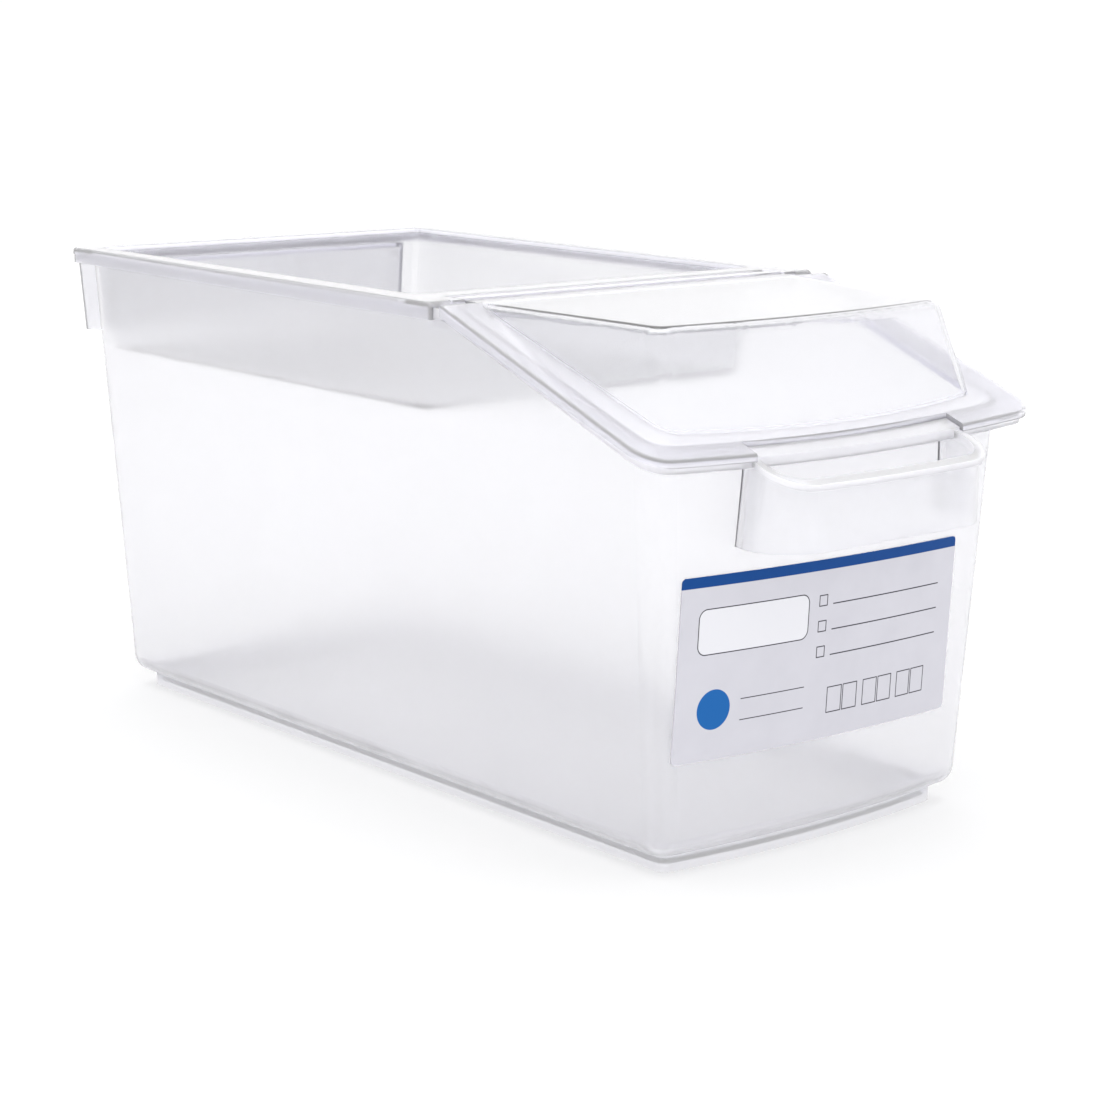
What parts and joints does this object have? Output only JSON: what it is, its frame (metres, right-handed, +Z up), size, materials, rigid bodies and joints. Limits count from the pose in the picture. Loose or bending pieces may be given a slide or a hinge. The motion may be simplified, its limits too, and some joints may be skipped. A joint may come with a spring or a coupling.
{
  "type": "ingredient bin",
  "caption": "Translucent dry ingredient bin with a lift-out tray over its rear half, a hinged domed scoop lid on its sloped front, front and rear grips and a label.",
  "frame": {"origin": "on the surface the bin stands on, under the middle of its overall length and width", "axes": "+Z up; +Y from the front (lid and front grip) to the rear grip; +X to the right seen from the front"},
  "size_m": [0.23, 0.48, 0.227],
  "materials": {
    "bin_plastic": "satin translucent polypropylene",
    "tray_plastic": "satin translucent polypropylene",
    "lid_plastic": "clear glossy polypropylene",
    "label_paper": "printed matt film"
  },
  "bodies": {
    "bin": {"bin": "bin_plastic", "label": "label_paper"},
    "tray": {"tray": "tray_plastic"},
    "lid": {"lid": "lid_plastic"}
  },
  "joints": [
    {"name": "tray_lift", "type": "slide", "parent": "bin", "child": "tray", "axis": [0, 0, 1], "range_m": [0, 0.08]},
    {"name": "lid_hinge", "type": "hinge", "parent": "tray", "child": "lid", "pos_m": [0, -0.0685, 0.222], "axis": [-1, 0, 0], "range_deg": [0, 95]}
  ]
}
